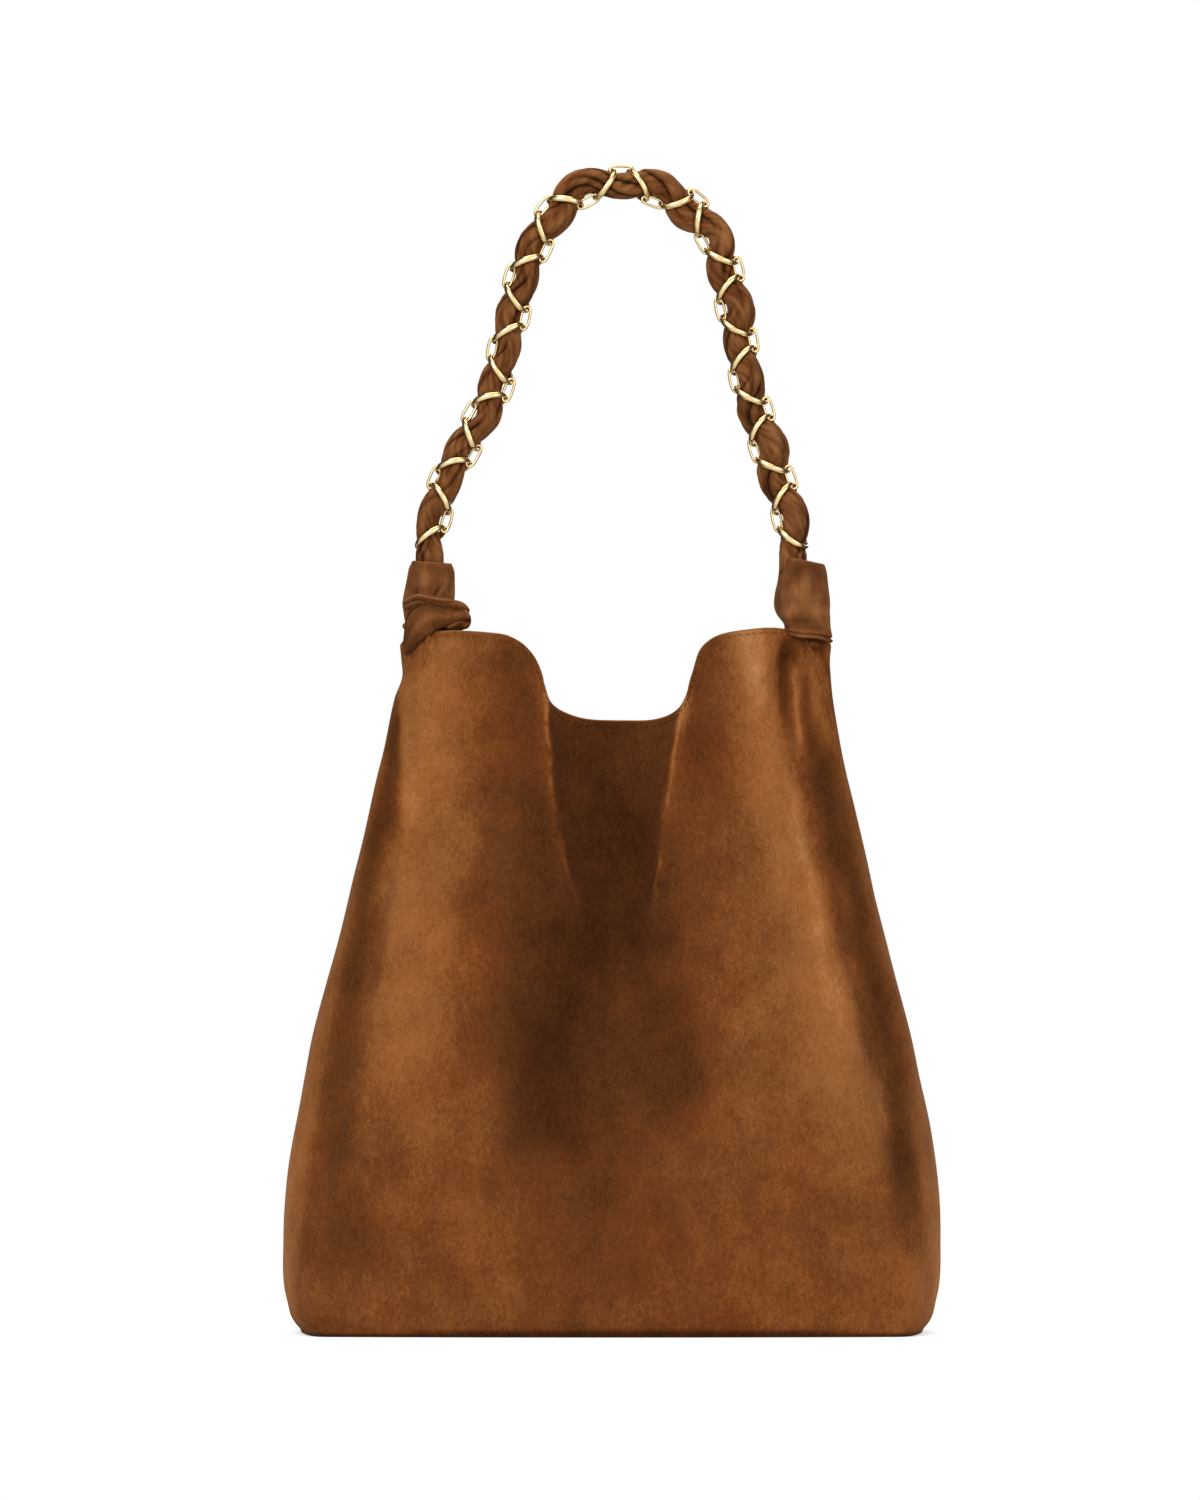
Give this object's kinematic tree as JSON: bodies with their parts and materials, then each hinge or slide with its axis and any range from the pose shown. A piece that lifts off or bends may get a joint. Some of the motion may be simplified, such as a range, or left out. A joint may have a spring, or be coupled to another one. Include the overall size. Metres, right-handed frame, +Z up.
{
  "type": "hobo bag",
  "caption": "Slouching suede shoulder bag with a flat base, open dipped mouth and a swinging strap of suede laced through a gold chain, knotted at the corners.",
  "frame": {"origin": "centre of the base, on the surface that the bag stands on", "axes": "+Z up, +X to the right seen from the front, -Y towards the front"},
  "size_m": [0.379, 0.1594, 0.6813],
  "materials": {
    "suede": "brown suede with a matte, brushed nap",
    "lining": "plain woven cotton, matte",
    "board": "pressed fibre board, matte",
    "gold": "polished pale gold plating"
  },
  "bodies": {
    "bag": {"front_panel": "suede", "back_panel": "suede", "left_gusset": "suede", "right_gusset": "suede", "base_panel": "suede", "base_board": "board", "lining": "lining", "magnet_snap_front": "gold", "magnet_snap_back": "gold"},
    "strap": {"strap_suede": "suede", "left_knot": "suede", "right_knot": "suede", "chain_link_01": "gold", "chain_link_02": "gold", "chain_link_03": "gold", "chain_link_04": "gold", "chain_link_05": "gold", "chain_link_06": "gold", "chain_link_07": "gold", "chain_link_08": "gold", "chain_link_09": "gold", "chain_link_10": "gold", "chain_link_11": "gold", "chain_link_12": "gold", "chain_link_13": "gold", "chain_link_14": "gold", "chain_link_15": "gold", "chain_link_16": "gold", "chain_link_17": "gold", "chain_link_18": "gold", "chain_link_19": "gold", "chain_link_20": "gold", "chain_link_21": "gold", "chain_link_22": "gold", "chain_link_23": "gold", "chain_link_24": "gold", "joining_link_01": "gold", "joining_link_02": "gold", "joining_link_03": "gold", "joining_link_04": "gold", "joining_link_05": "gold", "joining_link_06": "gold", "joining_link_07": "gold", "joining_link_08": "gold", "joining_link_09": "gold", "joining_link_10": "gold", "joining_link_11": "gold", "joining_link_12": "gold", "joining_link_13": "gold", "joining_link_14": "gold", "joining_link_15": "gold", "joining_link_16": "gold", "joining_link_17": "gold", "joining_link_18": "gold", "joining_link_19": "gold", "joining_link_20": "gold", "joining_link_21": "gold", "joining_link_22": "gold", "joining_link_23": "gold"}
  },
  "joints": [
    {"name": "strap_swing", "type": "hinge", "parent": "bag", "child": "strap", "pos_m": [0, 0, 0.425], "axis": [1, 0, 0], "range_deg": [-80, 80]}
  ]
}
